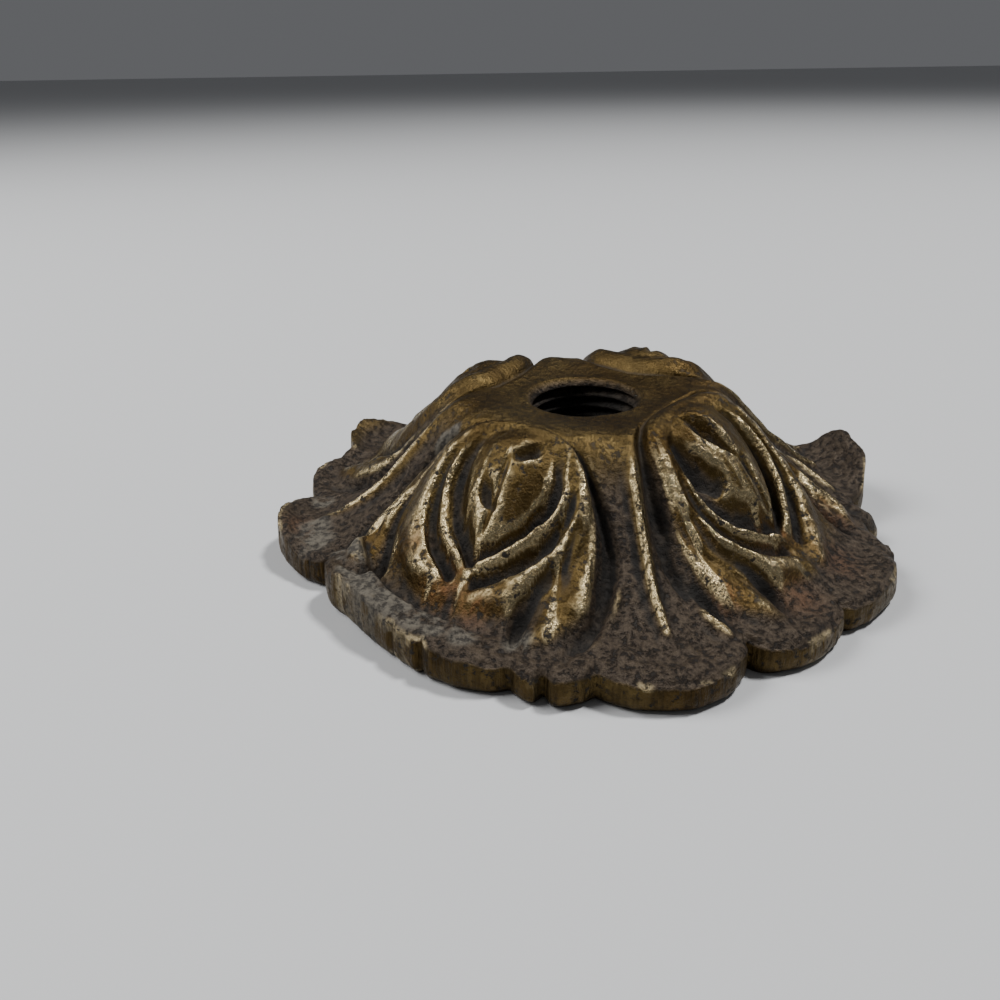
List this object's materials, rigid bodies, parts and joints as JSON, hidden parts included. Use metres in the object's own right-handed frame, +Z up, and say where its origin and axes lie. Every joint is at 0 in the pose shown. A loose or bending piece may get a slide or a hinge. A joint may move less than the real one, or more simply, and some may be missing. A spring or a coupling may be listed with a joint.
{
  "type": "lamp rosette",
  "caption": "Domed cast-brass rosette with bud-and-leaf petals, ribs between them, a scalloped rim and a tapped centre hole.",
  "frame": {"origin": "on the tapped hole's axis, in the plane of the flat land that the rosette rests on", "axes": "+Z up along the tapped hole, out of its mouth; -Y is the front, with a long rib 15 degrees to its +X side"},
  "size_m": [0.0528, 0.0528, 0.0144],
  "materials": {
    "aged_brass": "aged cast brass: dark patina in the grooves, worn bright on the crests, filed at the rim"
  },
  "bodies": {
    "root": {"rosette_casting": "aged_brass"}
  },
  "joints": []
}
